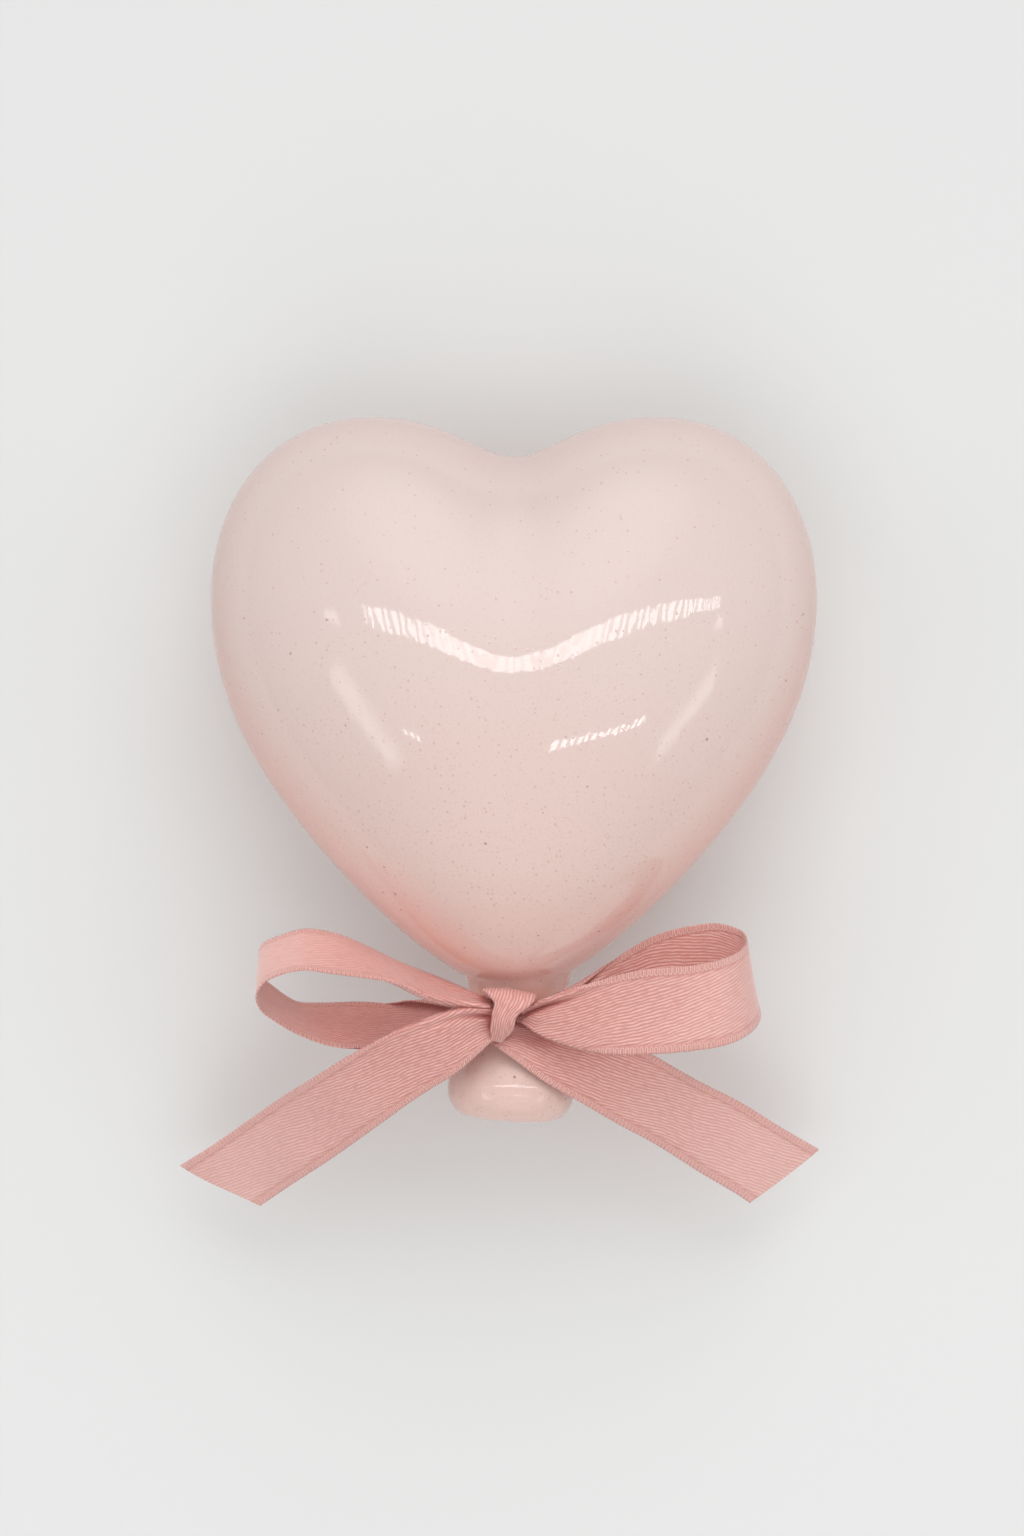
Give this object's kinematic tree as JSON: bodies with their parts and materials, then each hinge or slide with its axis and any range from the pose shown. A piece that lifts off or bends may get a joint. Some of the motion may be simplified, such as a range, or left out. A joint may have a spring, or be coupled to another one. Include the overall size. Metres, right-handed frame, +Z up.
{
  "type": "heart-shaped trinket box",
  "caption": "Puffy heart trinket box in the form of a balloon: a ceramic dome lid with neck and mouth lifts off a low tray, and a satin ribbon bow is tied round the neck.",
  "frame": {"origin": "middle of the non-slip pad's underside, level with the middle of the heart", "axes": "+Z up from the table through the dome, +Y from the balloon's mouth towards the cleft between the lobes, +X to the right"},
  "size_m": [0.1053, 0.127, 0.0523],
  "materials": {
    "glaze": "gloss",
    "pad": "matte",
    "ribbon": "satin"
  },
  "bodies": {
    "base": {"tray": "glaze", "foot_pad": "pad"},
    "lid": {"lid_dome": "glaze", "ribbon_turn": "ribbon", "ribbon_knot": "ribbon", "ribbon_loop_left": "ribbon", "ribbon_loop_right": "ribbon", "ribbon_tail_left": "ribbon", "ribbon_tail_right": "ribbon"}
  },
  "joints": [
    {"name": "lid_lift", "type": "slide", "parent": "base", "child": "lid", "axis": [0, 0, 1], "range_m": [0, 0.08]}
  ]
}
